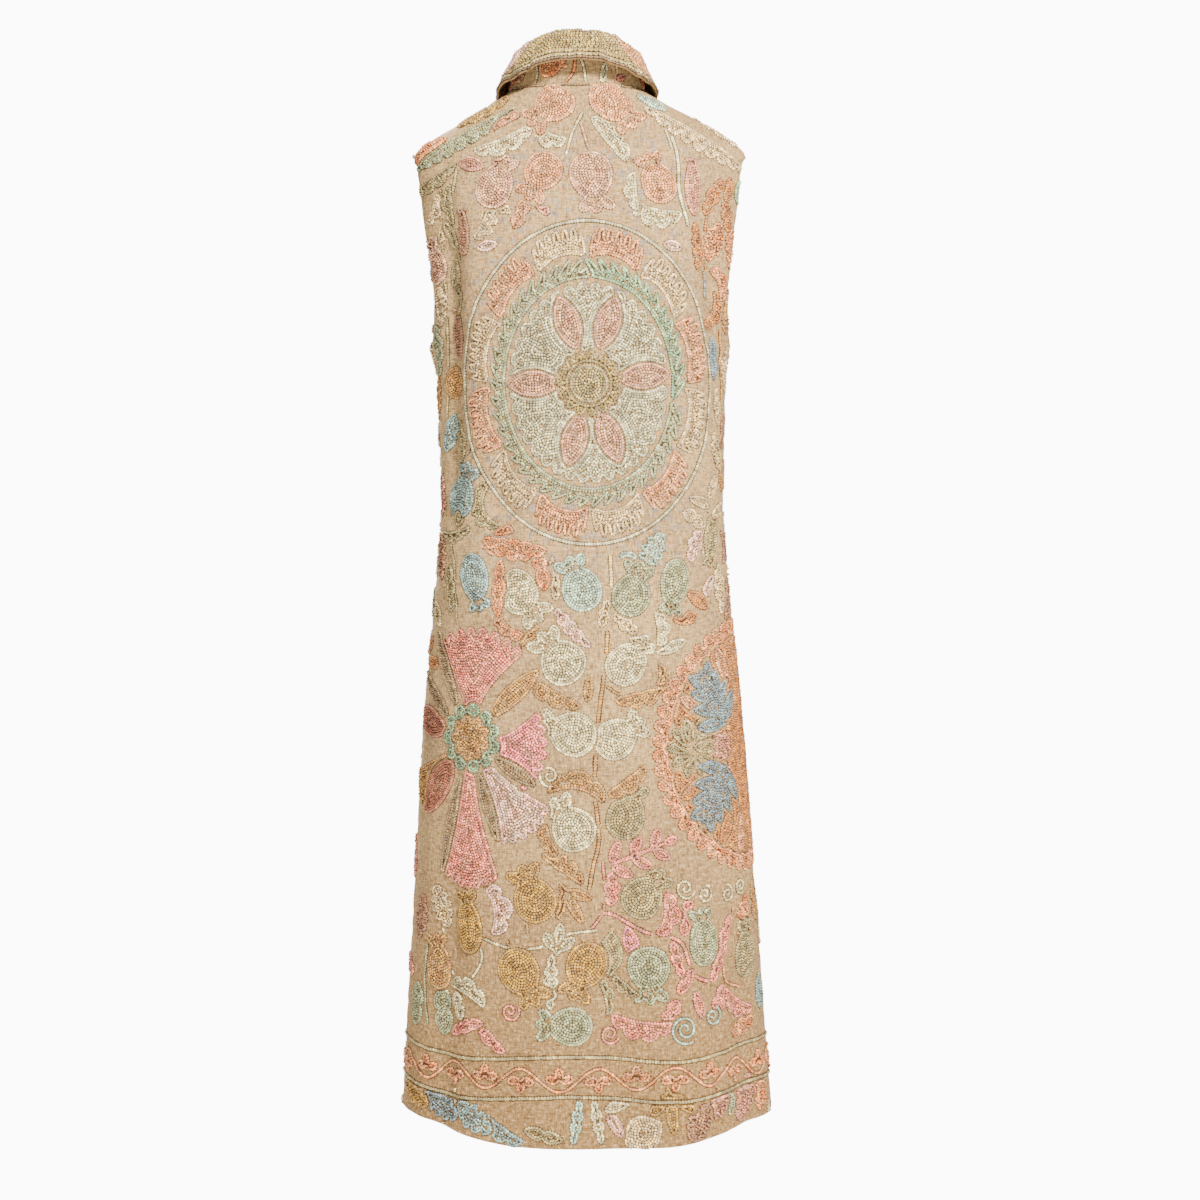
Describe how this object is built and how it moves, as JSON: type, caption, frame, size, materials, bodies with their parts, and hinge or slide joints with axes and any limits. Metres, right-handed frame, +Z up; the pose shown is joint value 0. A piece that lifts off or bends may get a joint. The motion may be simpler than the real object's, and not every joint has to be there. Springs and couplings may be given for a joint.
{
  "type": "embroidered waistcoat",
  "caption": "Long sleeveless embroidered waistcoat in worn form, with a turned-down collar, open armholes and an open front.",
  "frame": {"origin": "in the middle of the neck opening, level with the tops of the shoulder seams, in the plane of the side seams", "axes": "+Z up, +Y the way the wearer faces, +X to the wearer's right"},
  "size_m": [0.4116, 0.2976, 1.2012],
  "materials": {
    "embroidered_cloth": "dense matt chain stitch in wool and cotton on beige cloth",
    "collar_cloth": "dense matt chain stitch, doubled and bagged out at the edge"
  },
  "bodies": {
    "root": {"back": "embroidered_cloth", "front_right": "embroidered_cloth", "front_left": "embroidered_cloth", "collar": "collar_cloth"}
  },
  "joints": []
}
